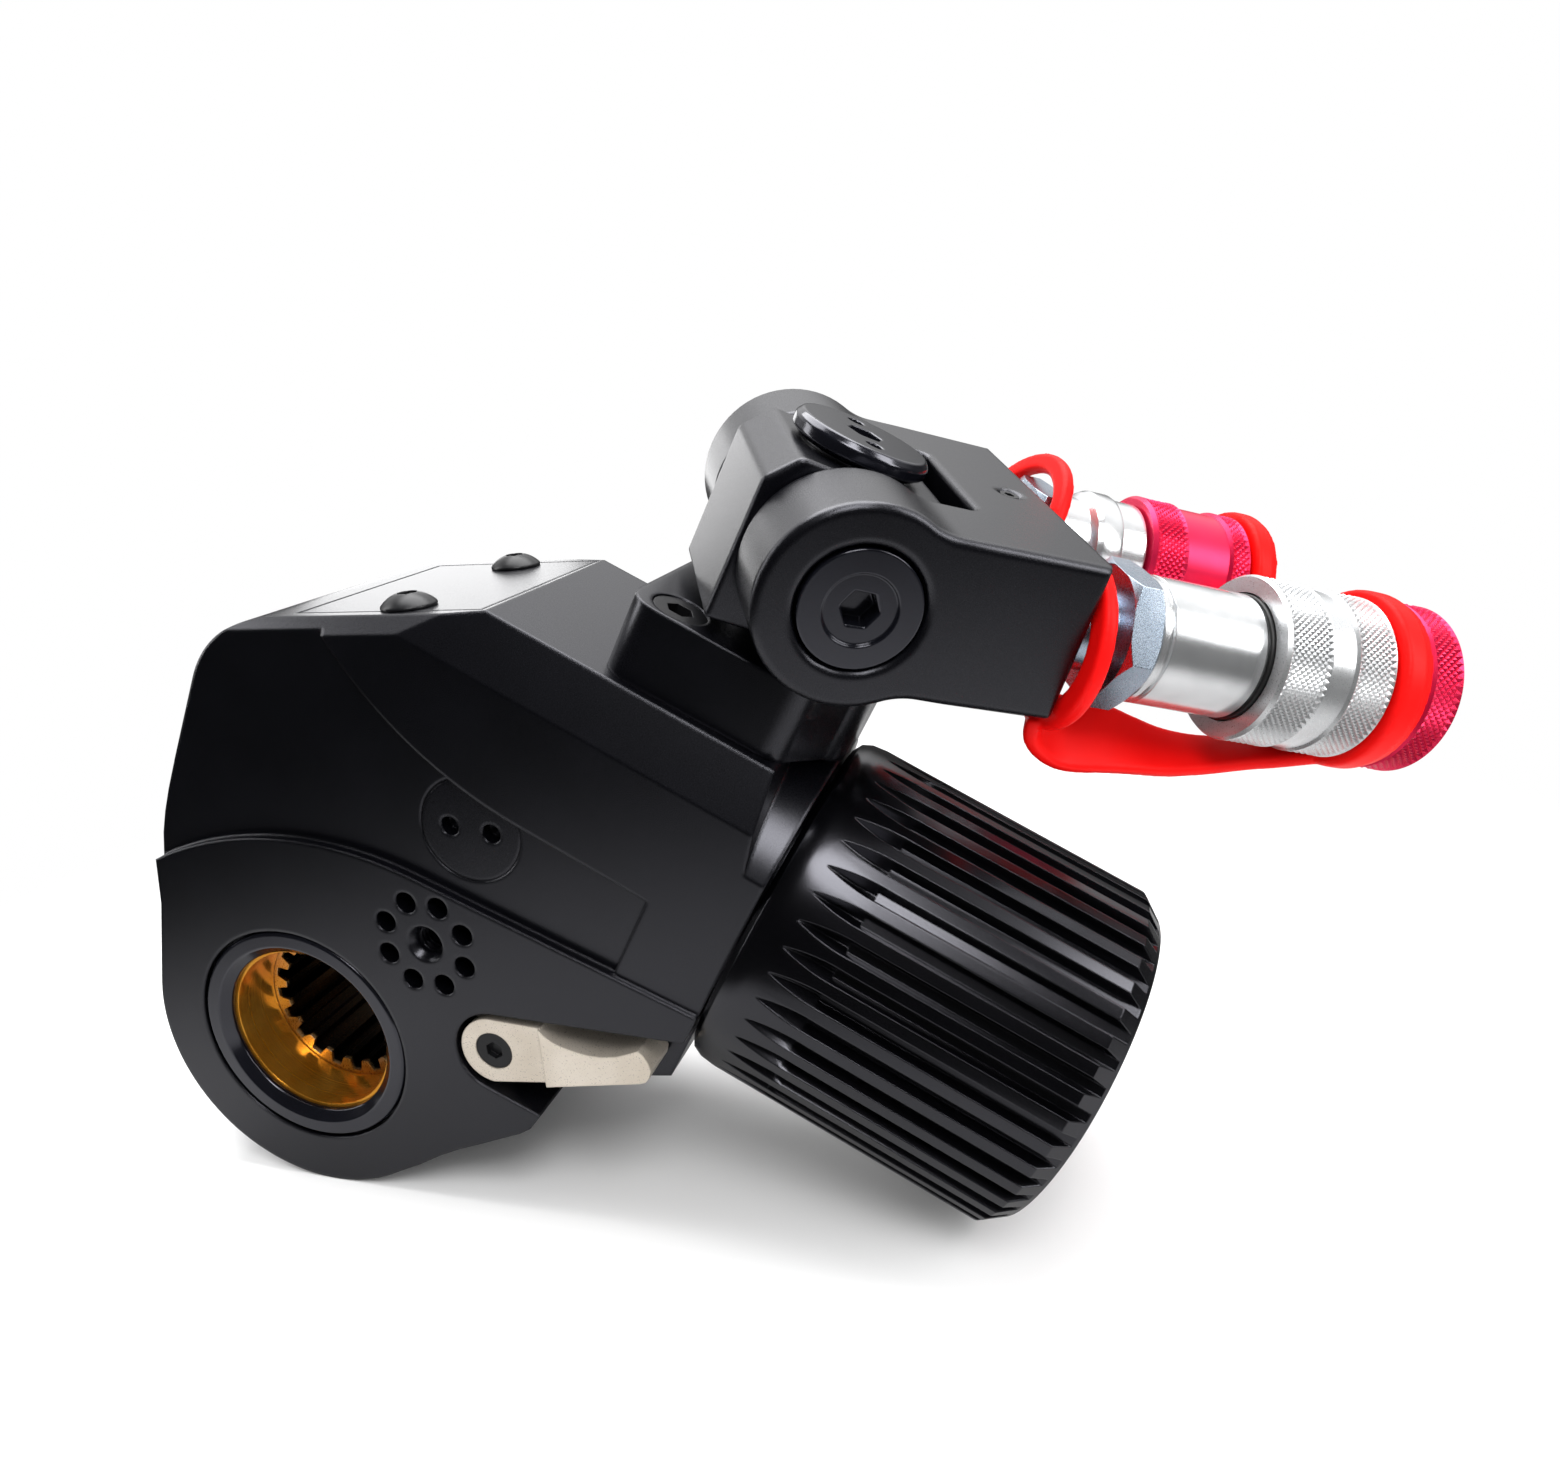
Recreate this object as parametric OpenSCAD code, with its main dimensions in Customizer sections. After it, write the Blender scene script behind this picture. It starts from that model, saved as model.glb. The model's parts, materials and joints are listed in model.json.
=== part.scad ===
// Hydraulic torque wrench with a ratchet head, a splined reaction barrel and a fork swivel.
// Tool axes: X runs along the barrel to its end, Y along the drive axis, Z up to the swivel.
// The whole tool is then tilted so that it stands on the head and the rim of the barrel.

/* [Pose] */
// Tilt of the barrel below the horizontal when the tool stands on a table
tilt = 29; // [27:0.1:30]
// Turn of the swivel about its post
yaw = 28.4; // [0:0.1:60]
// Lift of the fork above the plane square to the post
pitch = 8.5; // [0:0.1:20]

/* [Head] */
// Width over the raised side plates
plate_w = 55; // [54:0.25:56]
// Width over the recessed flanks
flank_w = 51; // [50:0.25:52]
// Radius of the nose round the drive axis
head_r = 31.5; // [31:0.1:32.5]
// Height of the top face above the drive axis
head_h = 93; // [92.5:0.1:93.5]
// Slope of the brow in front of the top face
brow_a = 29.5; // [28:0.25:31]
// Place along the tool where the brow meets the top face
brow_x = 4.6; // [4:0.1:5]
// Forward lean of the nose above the round of the head
nose_lean = 13; // [12:0.5:14]
// Place along the tool of the nose's front
nose_x = -39.8; // [-40:0.1:-39.5]

/* [Drive] */
// Bore radius of the bronze bushes
bore_r = 16.3; // [16:0.1:16.5]
// Outer radius of the bronze bushes
bush_r = 19.5; // [19.3:0.1:19.8]
// Tip radius of the ratchet teeth
ratchet_r = 22; // [21.8:0.1:22.1]
// Number of ratchet teeth
ratchet_n = 36; // [24:12:36]
// Number of spline teeth inside the ratchet
spline_n = 20; // [16:2:24]
// Length of the crank from the drive axis to its pin
crank_r = 60.4; // [60:0.1:60.6]
// Angle of the crank at rest, from the tool's Z axis
crank_a = 15.4; // [15:0.1:15.6]

/* [Barrel] */
// Height of the barrel axis above the drive axis
axis_z = 61.5; // [61:0.1:62]
// Outer radius over the reaction splines
barrel_r = 31.4; // [31:0.1:31.8]
// Place along the tool of the barrel's end face
barrel_x = 122.7; // [122:0.1:123]
// Number of reaction splines
rib_n = 42; // [36:1:44]
// Depth of the grooves between the splines
rib_d = 2.1; // [1.6:0.1:2.4]
// Radius of the piston bore
piston_r = 19; // [18.5:0.1:19.2]

/* [Swivel] */
// Place of the swivel post along the tool
post_x = 43.7; // [43:0.1:44]
// Radius of the swivel post
post_r = 8.5; // [8.2:0.1:8.8]
// Height of the trunnion axis above the drive axis
trunnion_z = 123; // [122.5:0.1:123.5]
// Half width over the fork's ears
ear_y = 30.1; // [29:0.1:31]
// Radius of the fork's ears
ear_r = 15.3; // [15:0.1:15.4]
// Length of the fork from the trunnion axis to its end face
fork_l = 34.6; // [34:0.1:35]

/* [Couplers] */
// Distance of each coupler from the fork's middle
port_y = 19.7; // [19:0.1:20]
// Radius of the near coupler's sleeve
sleeve_r = 13.3; // [13:0.1:13.6]
// Radius of the far dust cap
cap_r = 12.2; // [12:0.1:12.4]

/* [Hidden] */
$fn = 96;
plate_y = plate_w / 2;
flank_y = flank_w / 2;
wall_y = 16;
chin_a = 32;
brow_r = 19;
nose_c = [nose_x + brow_r, head_h - (brow_x - nose_x - brow_r) * tan(brow_a) - brow_r / cos(brow_a)];
lever_p = [34.5, 21];
pocket_p = [35.2, 21.3];
pocket_r = 7.95;
pocket_y = 18.6;
pocket_a = 26.5;
lever_a = 29;
disc_p = [crank_r * sin(crank_a), crank_r * cos(crank_a)];
disc_r = 9.2;
ring_r = 21.5;
holes_p = [16.2, 34.3];
holes_r = 8.05;
holes_a = 1;
gap = 0.05;
neck_x = 63.6;
tip_x = 70.3;
run_x = 79;
floor_w = 0.8;
eye_s = 38.2;
eye_in = 10.6;
eye_out = 14;
hex_s = 41;
hex_l = 5;

// Points of a circular arc
function arc(c, r, a0, a1, n) = [for (i = [0 : n]) let (a = a0 + (a1 - a0) * i / n) c + r * [cos(a), sin(a)]];

// Outline of the head in the X-Z plane
function head_outline() = concat(
    arc([0, 0], head_r, 180 + nose_lean, 360 - chin_a, 40),
    [[30, -12], [32.9, -7.3], [35.9, -3.1], [39.3, 1], [44.9, 8], [46.3, 10.4], [46.9, 13.6], [47.6, 20],
        [49.5, 23.2], [60.2, 26.8], [neck_x, 29.3], [neck_x, 60], [56.5, head_h], [brow_x, head_h]],
    arc(nose_c, brow_r, 90 + brow_a, 180, 18),
    [[nose_x, 40], [nose_x + 0.1, 33], [nose_x + 0.4, 28], [nose_x + 1, 23.5], [nose_x + 2.1, 19],
        [nose_x + 3.7, 14.5], [nose_x + 5.2, 10.3]]);

// Upper edge of the side plate, an arch over the bore that runs straight to the neck
function plate_edge() = concat(arc([16.5, -23.6], 68.8, 146, 95.4, 24), [[70, 50.5]]);

// Lower edge of the shoulder, swept up from the neck to the brow
function shoulder_edge() = concat([[70, 64.2]], arc([24, 140], 75.8, 270, 227, 20));

// Two circles of different size wrapped by one outline, the second on the +X side
function link_outline(r0, r1, d) =
    let (a = acos((r0 - r1) / d))
    concat(arc([0, 0], r0, a, 360 - a, 40), arc([d, 0], r1, -a, a, 24));

// Ratchet teeth with their steep sides facing clockwise
function saw(n, tip, root, shift) = [for (k = [0 : n - 1], s = [0, 1])
    let (p = 360 / n, r = s == 0 ? root : tip, a = k * p + s * p * 0.1 + shift) r * [cos(a), sin(a)]];

// Square-sided spline teeth that point inward
function spline(n, tip, root) = [for (k = [0 : n - 1], s = [0 : 3])
    let (p = 360 / n, r = (s == 0 || s == 3) ? root : tip, a = (k + [-0.3, -0.16, 0.16, 0.3][s]) * p)
    r * [cos(a), sin(a)]];

// Point of a cubic curve through four control points, and the band drawn along it
function bez(c, t) = pow(1 - t, 3) * c[0] + 3 * t * pow(1 - t, 2) * c[1]
    + 3 * t * t * (1 - t) * c[2] + pow(t, 3) * c[3];
function unit(v) = v / norm(v);
function normal_at(c, t) = let (d = unit(bez(c, t + 0.01) - bez(c, t - 0.01))) [-d[1], d[0]];
function band(c, w, n) = concat(
    [for (i = [0 : n]) bez(c, i / n) + normal_at(c, i / n) * w / 2],
    [for (i = [n : -1 : 0]) bez(c, i / n) - normal_at(c, i / n) * w / 2]);

// Stands the tool on the table
module placed() {
    rotate([0, tilt, 0]) children();
}

// Spreads an X-Z profile from y0 to y1
module across(y0, y1) {
    translate([0, y1, 0]) rotate([90, 0, 0]) linear_extrude(y1 - y0) children();
}

// Round bar along the drive axis direction
module bar_y(p, r, y0, y1) {
    translate([p[0], y1, p[1]]) rotate([90, 0, 0]) cylinder(r = r, h = y1 - y0);
}

// Round bar along the barrel axis
module bar_x(r, x0, x1) {
    translate([x0, 0, axis_z]) rotate([0, 90, 0]) cylinder(r = r, h = x1 - x0);
}

// Profile of radius and length turned about the barrel axis
module turned_x() {
    translate([0, 0, axis_z]) rotate([0, 90, 0]) rotate_extrude() children();
}

// Profile of radius and length turned about the drive axis, mirrored for the near side
module turned_y(side) {
    scale_y(side) rotate([-90, 0, 0]) rotate_extrude() children();
}

// Mirror across the middle plane when the side is the near one
module scale_y(side) {
    if (side < 0) mirror([0, 1, 0]) children();
    else children();
}

// Axes of the brow: X up the slope, Z out of it
module on_brow() {
    translate([brow_x, 0, head_h]) rotate([0, -brow_a, 0]) children();
}

// Axes of the swivel block: X towards the couplers, Z up the post
module on_swivel() {
    translate([post_x, 0, trunnion_z]) rotate([0, 0, yaw]) children();
}

// Axes of the fork
module on_fork() {
    on_swivel() rotate([0, -pitch, 0]) children();
}

// Axes of a coupler: Z along it, starting at the trunnion axis
module on_port(side) {
    on_fork() translate([0, side * port_y, 0]) rotate([0, 90, 0]) children();
}

// Axes of the crank at rest: X along the arm
module on_crank(y0, y1) {
    across(y0, y1) rotate(90 - crank_a) children();
}

// Axes of the lever at rest: X along the finger
module on_lever(y0, y1) {
    across(y0, y1) translate(lever_p) rotate(lever_a) children();
}

// Section of the head that slopes the flanks in and bevels the top edges
module roof() {
    shoulder_y = flank_y + 1.1;
    half = [[30, -60], [30, 57], [shoulder_y, 60.4], [shoulder_y, head_h - 9], [21.7, head_h],
        [21.5, head_h + 0.6]];
    translate([-80, 0, 0]) rotate([90, 0, 90]) linear_extrude(200)
        polygon(concat(half, [for (i = [len(half) - 1 : -1 : 0]) [-half[i][0], half[i][1]]]));
}

// Section that bevels the edges of the brow
module brow_bevel() {
    half = [[30, -140], [30, -5.35], [23.4, 0], [22.9, 0.5]];
    on_brow() translate([-90, 0, 0]) rotate([90, 0, 90]) linear_extrude(260)
        polygon(concat(half, [for (i = [len(half) - 1 : -1 : 0]) [-half[i][0], half[i][1]]]));
}

// Area between the side plate and the shoulder
module flank_area() {
    polygon(concat(plate_edge(), shoulder_edge(), [[-70, 110], [-70, 0]]));
}

// Room inside the head for the crank, the rod end and the ratchet
module crank_room() {
    bar_y([0, 0], 24, -wall_y, wall_y);
    across(-wall_y, wall_y) polygon([[-24, 0], [24, 0], [27, 40], [27, 73], [-21, 73], [-25, 66]]);
    bar_x(12.2, 20, 52);
    across(-9.6, 9.6) polygon([[8, 2], [22, 3], [40, 13.5], [43, 20], [40, 29], [26, 34], [8, 34]]);
    bar_y(lever_p, 7, 9, 15);
}

// Pocket for the release lever, round at the pivot and open to the edge of the head
module lever_pocket() {
    end_x = neck_x + 3;
    top = pocket_p + pocket_r * [-sin(pocket_a), cos(pocket_a)];
    across(-plate_y - 1, -pocket_y) polygon(concat(
        arc(pocket_p, pocket_r, pocket_a + 90, 270, 18),
        [[46, 14], [end_x, 14.6], [end_x, top[1] + (end_x - top[0]) * tan(pocket_a)]]));
}

// Aluminium head that carries every other piece
module housing() {
    color("#26282c") placed() difference() {
        union() {
            difference() {
                intersection() {
                    across(-plate_y, plate_y) polygon(head_outline());
                    roof();
                    brow_bevel();
                }
                across(-plate_y - 2, -flank_y) flank_area();
                across(flank_y, plate_y + 2) flank_area();
            }
            intersection() {
                bar_x(30.9, 48, neck_x);
                translate([40, -26.6, 0]) cube([40, 53.2, 120]);
            }
            bar_x(25.5, 55, 69);
        }
        crank_room();
        lever_pocket();
        bar_y([0, 0], bush_r + 0.02, -plate_y - 1, plate_y + 1);
        bar_y([0, 0], ring_r + 0.5, -plate_y - 1, -24.93);
        bar_y([0, 0], ring_r + 0.5, 24.93, plate_y + 1);
        for (side = [-1, 1]) {
            scale_y(side) intersection() {
                bar_y(disc_p, disc_r + 0.1, 20.4, plate_y + 1);
                across(20, plate_y + 2) flank_area();
            }
            scale_y(side) bar_y(disc_p, 7.4, 14, 24);
        }
        for (k = [0 : 7]) {
            a = k * 45 + holes_a;
            bar_y(holes_p + holes_r * [cos(a), sin(a)], 2, -plate_y - 1, -19);
        }
        bar_y(holes_p, 2.5, -plate_y - 1, -17.5);
        thread_mouth();
        bar_y(lever_p, 5 + gap, -20, 22);
        bar_x(piston_r + gap, 50.5, 72);
        on_brow() translate([-36.2, -21.3, -3]) cube([35.4, 42.6, 6]);
        on_brow() translate([-30, -12, -18]) cube([22, 24, 20]);
        for (side = [-1, 1]) on_brow() translate([-16.7, side * 17.5, -10]) cylinder(r = 2.05, h = 8);
        translate([post_x, 0, 84]) cylinder(r = post_r + gap, h = 20);
        for (x = [31.5, 53], y = [-14.5, 14.5]) translate([x, y, 84]) cylinder(r = 2.55, h = 20);
    }
}

// Countersink at the mouth of the threaded hole on the near side
module thread_mouth() {
    translate([holes_p[0], -plate_y - 0.01, holes_p[1]]) rotate([-90, 0, 0])
        cylinder(r1 = 3.5, r2 = 2.4, h = 1.6);
}

// Plate over the service opening in the brow
module front_cover() {
    color("#2a2c30") placed() on_brow() difference() {
        translate([-36, -21.1, -2.95]) cube([35, 42.2, 2.95]);
        for (side = [-1, 1]) translate([-16.7, side * 17.5, -4]) cylinder(r = 2.05, h = 8);
    }
}

// Button-head screw of the front cover
module cover_screw(side) {
    dome = 6;
    color("#1c1d20") placed() on_brow() translate([-16.7, side * 17.5, 0.02]) {
        difference() {
            intersection() {
                translate([0, 0, 2.6 - dome]) sphere(r = dome);
                cylinder(r = 4.6, h = 4);
            }
            translate([0, 0, 1.1]) cylinder(r = 1.75, h = 4, $fn = 6);
        }
        translate([0, 0, -9]) cylinder(r = 2, h = 9.2);
    }
}
module cover_screw_near() { cover_screw(-1); }
module cover_screw_far() { cover_screw(1); }

// Bronze bush with an inner collar that centres the ratchet
module bush(side) {
    color("#b0802c") placed() turned_y(side)
        polygon([[bore_r, 15.2], [17.4, 15.2], [17.4, 16.1], [bush_r, 16.1], [bush_r, 24.9], [bore_r, 24.9]]);
}
module near_bush() { bush(-1); }
module far_bush() { bush(1); }

// Steel ring that closes the bush, chamfered towards the bore
module bush_ring(side) {
    color("#3a3c42") placed() turned_y(side)
        polygon([[bore_r + 0.6, 24.95], [ring_r, 24.95], [ring_r, 27], [ring_r - 0.4, 27.4], [18.6, 27.4],
            [bore_r + 0.6, 25.9]]);
}
module near_bush_ring() { bush_ring(-1); }
module far_bush_ring() { bush_ring(1); }

// Plug over the crank pin, with two holes for a pin spanner
module access_plug(side) {
    color("#292b30") placed() scale_y(side) difference() {
        intersection() {
            bar_y(disc_p, disc_r, 20.6, flank_y - 0.05);
            translate([0, 0, -0.15]) across(20, plate_y) flank_area();
        }
        for (s = [-1, 1]) bar_y(disc_p + s * [3.6, 1.4], 1.7, 22.8, flank_y + 1);
    }
}
module near_access_plug() { access_plug(-1); }
module far_access_plug() { access_plug(1); }

// Cutter of one groove of the barrel: a flat channel that a round cutter has left in a pointed run-out
module groove_cutter() {
    floor_r = barrel_r - rib_d;
    wheel_r = (pow(run_x - tip_x, 2) + pow(rib_d, 2)) / (2 * rib_d);
    wheel_w = 2.4;
    edge_w = 0.12;
    rim_r = wheel_r - rib_d * 1.8;
    side_w = floor_w + rib_d / 2;
    translate([run_x, 0, floor_r]) rotate([90, 0, 90]) linear_extrude(barrel_x + 2 - run_x)
        polygon([[-floor_w, 0], [floor_w, 0], [side_w, rib_d * 2], [-side_w, rib_d * 2]]);
    translate([run_x, 0, floor_r + wheel_r]) rotate([90, 0, 0]) rotate_extrude()
        polygon([[0, -wheel_w], [rim_r, -wheel_w], [wheel_r, -edge_w], [wheel_r, edge_w], [rim_r, wheel_w],
            [0, wheel_w]]);
}

// Reaction barrel with a smooth shoulder, splines and a bevelled rim
module cylinder_barrel() {
    color("#1d1e21") placed() difference() {
        turned_x() polygon([[25.55, 64], [28.8, 64], [30.3, 64.9], [31.1, 66.6], [barrel_r, 69.3],
            [barrel_r, barrel_x - 3.6], [barrel_r - 2.6, barrel_x], [24 + gap, barrel_x], [24 + gap, 111],
            [piston_r, 111], [piston_r, 69.4], [25.55, 69.4]]);
        translate([0, 0, axis_z]) for (k = [0 : rib_n - 1])
            rotate([k * 360 / rib_n + 2.3, 0, 0]) groove_cutter();
    }
}

// Screwed plug in the end of the barrel
module end_cap() {
    color("#232428") placed() difference() {
        turned_x() polygon([[0, 111.05], [22, 111.05], [22, 113], [20.6, 113], [20.6, 115.4], [22, 115.4],
            [24, 115.4], [24, 120], [23.4, 120.6], [0, 120.6]]);
        for (s = [-1, 1]) translate([116.5, 0, axis_z + s * 14]) rotate([0, 90, 0]) cylinder(r = 2.5, h = 6);
    }
}

// Ring seal of a round section about the barrel axis
module ring_x(r, w, x) {
    turned_x() translate([r, x]) circle(r = w, $fn = 24);
}
module end_cap_seal() { color("#101010") placed() ring_x(22.3, 1.1, 114.2); }
module gland_seal() { color("#101010") placed() ring_x(11 + 1.4, 1.3, 60); }
module piston_seal() {
    color("#151515") placed() turned_x() polygon([[17, 101.6], [18.95, 101.6], [18.95, 105.4], [17, 105.4]]);
}

// Bronze gland that guides the rod where it leaves the oil
module rod_gland() {
    rod_r = 11.06;
    color("#a9822f") placed() turned_x() polygon([[rod_r, 52.1], [piston_r, 52.1], [piston_r, 69.2],
        [rod_r, 69.2], [rod_r, 61.5], [13.8, 61.5], [13.8, 58.5], [rod_r, 58.5]]);
}

// Piston with a groove for its seal
module piston() {
    color("#8d9094") placed() turned_x() polygon([[9, 96.6], [18.94, 96.6], [18.94, 101.5], [16.9, 101.5],
        [16.9, 105.5], [18.94, 105.5], [18.94, 110.6], [0, 110.6], [0, 107], [9, 107]]);
}

// Rod with a flat tongue that is slotted across for the crank pin
module piston_rod() {
    pin_x = disc_p[0];
    color("#b9bcc0") placed() difference() {
        union() {
            bar_x(11, pin_x + 17, 96.5);
            bar_x(8.95, 90, 106.9);
            intersection() {
                across(-8.9, 8.9) polygon([[pin_x - 7, axis_z - 10], [pin_x + 19, axis_z - 10],
                    [pin_x + 19, axis_z + 10], [pin_x - 7, axis_z + 10], [pin_x - 11, axis_z + 5],
                    [pin_x - 11, axis_z - 6]]);
                bar_x(11, pin_x - 20, pin_x + 20);
            }
        }
        across(-12, 12) polygon([[pin_x - 5.4, disc_p[1] - 6], [pin_x + 5.4, disc_p[1] - 6],
            [pin_x + 5.4, crank_r + 5.9], [pin_x - 5.4, crank_r + 5.9]]);
    }
}

// Drive plate that turns on the ratchet hub and carries the crank pin
module crank_plate(side) {
    color("#6d7075") placed() scale_y(side) difference() {
        on_crank(9.7, 15.5) polygon(link_outline(23.2, 9.5, crank_r));
        bar_y([0, 0], 19.06, 5, 20);
        bar_y(disc_p, 5.02, 5, 20);
    }
}
module crank_plate_near() { crank_plate(-1); }
module crank_plate_far() { crank_plate(1); }

// Block between the drive plates that backs the drive pawl
module crank_bridge() {
    color("#5f6267") placed() difference() {
        on_crank(-9.68, 9.68) polygon([[33.4, -9], [46, -8], [46, 8], [33.4, 9]]);
        for (s = [-1, 1]) rotate([0, crank_a, 0]) translate([0, s * 4.5, 30]) cylinder(r = 2.3, h = 9);
    }
}

// Pin through the drive plates and the slot of the rod
module crank_pin() {
    color("#c2c4c8") placed() bar_y(disc_p, 5, -15.4, 15.4);
}

// Toothed segment that pushes the ratchet and lifts over it on the way back
module drive_pawl() {
    color("#777b80") placed() difference() {
        intersection() {
            on_crank(-8.8, 8.8) polygon([[18, -7.3], [31, -7.3], [31, 7.3], [18, 7.3]]);
            bar_y([0, 0], 60, -10, 10);
        }
        across(-12, 12) polygon(saw(ratchet_n, ratchet_r + 0.35, ratchet_r - 1.4, -0.9));
        for (s = [-1, 1]) rotate([0, crank_a, 0]) translate([0, s * 4.5, 27]) cylinder(r = 2.3, h = 9);
    }
}

// Small compression spring of the drive pawl, drawn as its outer tube
module pawl_spring(s) {
    color("#b5b8bc") placed() rotate([0, crank_a, 0]) translate([0, s * 4.5, 27.1]) difference() {
        cylinder(r = 2, h = 11.7);
        translate([0, 0, -1]) cylinder(r = 1.3, h = 14);
    }
}
module pawl_spring_near() { pawl_spring(-1); }
module pawl_spring_far() { pawl_spring(1); }

// Ratchet wheel with hubs for the drive plates and a splined bore for the drive shaft
module ratchet() {
    color("#b58a3c") placed() difference() {
        union() {
            across(-9, 9) polygon(saw(ratchet_n, ratchet_r, ratchet_r - 1.8, 0));
            bar_y([0, 0], 19, -15.7, 15.7);
        }
        across(-20, 20) polygon(spline(spline_n, 13.4, 15.6));
        for (s = [-1, 1]) scale_y(s) bar_y([0, 0], 17.46, 15.1, 20);
    }
}

// Shaft of the release lever, through the head
module lever_shaft() {
    color("#9a9da1") placed() difference() {
        bar_y(lever_p, 5, -22.4, 21.5);
        bar_y(lever_p, 2.55, -24, -13);
    }
}

// Pawl that keeps the ratchet from turning back, drawn riding on the tooth crests
module holding_pawl() {
    tip = 22.5 * [cos(41), sin(41)];
    color("#777b80") placed() difference() {
        across(-8.8, 8.8) polygon(concat(
            [tip, 27.5 * [cos(47), sin(47)]],
            arc(lever_p, 7, 125, -90, 24),
            [22.8 * [cos(33), sin(33)]]));
        bar_y(lever_p, 5.01, -20, 20);
    }
}

// Torsion spring of the holding pawl, drawn as its coil
module pawl_return_spring() {
    color("#b5b8bc") placed() difference() {
        bar_y(lever_p, 6.6, 9.9, 14.6);
        bar_y(lever_p, 5.4, 9, 16);
    }
}

// Nickel-plated release lever with a scooped finger
module release_lever() {
    color("#d8d4cc") placed() difference() {
        union() {
            on_lever(-26.9, -22.4) polygon(concat(arc([0, 0], 6.4, 92, 262, 24), [[9.9, -5.1], [9.9, 5.7]]));
            on_lever(-27.4, -19.4) polygon([[9.7, -5.8], [27.6, -2.75], [28.9, -2.3], [29.7, -1.3],
                [30.1, 0.1], [29.8, 1.6], [29.1, 2.9], [28.2, 3.75], [26.4, 2.95], [24, 2.1], [21.1, 1.7],
                [18.5, 1.75], [16.5, 2.1], [14, 2.75], [11.9, 3.55], [10.6, 4.6], [9.7, 5.7]]);
        }
        bar_y(lever_p, 3.6, -30, -25);
        bar_y(lever_p, 2.55, -26, -20);
    }
}

// Socket screw that holds the lever to its shaft
module lever_screw() {
    color("#17181a") placed() difference() {
        union() {
            bar_y(lever_p, 3.5, -26.7, -25);
            bar_y(lever_p, 2.5, -25.5, -13.5);
        }
        translate([lever_p[0], -25.6, lever_p[1]]) rotate([90, 0, 0]) cylinder(r = 1.7, h = 4, $fn = 6);
    }
}

// Block on top of the head that seats the post
module swivel_base() {
    color("#232529") placed() difference() {
        translate([0, 0, head_h]) linear_extrude(13) polygon(concat(
            arc([29.2, -15], 5, 180, 270, 8), arc([52.5, -15], 5, 270, 340, 8),
            arc([58.5, -5], 5.5, 300, 360, 8), arc([58.5, 5], 5.5, 0, 60, 8),
            arc([52.5, 15], 5, 20, 90, 8), arc([29.2, 15], 5, 90, 180, 8)));
        translate([post_x, 0, 80]) cylinder(r = post_r + gap, h = 40);
        for (x = [31.5, 53], y = [-14.5, 14.5]) translate([x, y, 0]) {
            translate([0, 0, 80]) cylinder(r = 2.55, h = 40);
            translate([0, 0, 101.5]) cylinder(r = 4.6, h = 10);
        }
    }
}

// Socket-head screw of the swivel base
module base_screw(x, y) {
    color("#17181a") placed() translate([x, y, 101.6]) difference() {
        union() {
            cylinder(r = 4.4, h = 4.2);
            translate([0, 0, -17]) cylinder(r = 2.5, h = 17.5);
        }
        translate([0, 0, 1.8]) cylinder(r = 2.3, h = 4, $fn = 6);
    }
}
module base_screw_1() { base_screw(31.5, -14.5); }
module base_screw_2() { base_screw(31.5, 14.5); }
module base_screw_3() { base_screw(53, -14.5); }
module base_screw_4() { base_screw(53, 14.5); }

// Hollow post that feeds oil to the head
module swivel_post() {
    color("#5b5e63") placed() translate([post_x, 0, 0]) difference() {
        translate([0, 0, 84.2]) cylinder(r = post_r, h = 52.1);
        translate([0, 0, 90]) cylinder(r = 2.6, h = 60);
    }
}

// Round cap that keeps the swivel block on the post
module post_cap() {
    top = trunnion_z + 17;
    color("#2b2d31") placed() translate([post_x, 0, 0]) rotate([0, 0, yaw]) difference() {
        rotate_extrude() polygon([[0, top - 3.6], [9.6, top - 3.6], [11.1, top - 2.6], [11.1, top - 1],
            [10.3, top], [0, top]]);
        translate([0, 0, top - 2.2]) cylinder(r = 2.9, h = 4, $fn = 6);
        for (s = [-1, 1]) translate([0, s * 6.4, top - 1.8]) cylinder(r = 1.3, h = 4);
    }
}

// Block that turns on the post and holds the trunnion pins
module swivel_block() {
    color("#27292d") placed() on_swivel() difference() {
        across(-13.6, 13.6) polygon(concat([[-15.6, -14.5], [11.4, -14.5]],
            arc([0, 0], 18.6, -51, 44, 20), [[-11.4, 13], [-15.6, 8.4]]));
        translate([0, 0, -30]) cylinder(r = post_r + gap, h = 60);
        for (z = [-8.5, 8.5]) translate([0, 0, z - 1.2]) cylinder(r = post_r + 1.6, h = 2.4);
        bar_y([0, 0], 6.05, -20, -11);
        bar_y([0, 0], 6.05, 11, 20);
    }
}

// Ring seal between the post and the block
module post_seal(z) {
    color("#101010") placed() on_swivel() translate([0, 0, z]) rotate_extrude()
        translate([post_r + 0.82, 0]) circle(r = 0.75, $fn = 24);
}
module post_seal_upper() { post_seal(8.5); }
module post_seal_lower() { post_seal(-8.5); }

// Round of the corner between an ear of radius r and a straight edge at height h
function ear_fillet(r, h, f, n) =
    let (side = sign(h), c = [sqrt(pow(r + f, 2) - pow(abs(h) + f, 2)), side * (abs(h) + f)],
        a0 = atan2(-c[1], -c[0]), a1 = -90 * side)
    arc(c, f, side > 0 ? a1 : a0, side > 0 ? a0 : a1, n);

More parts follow.
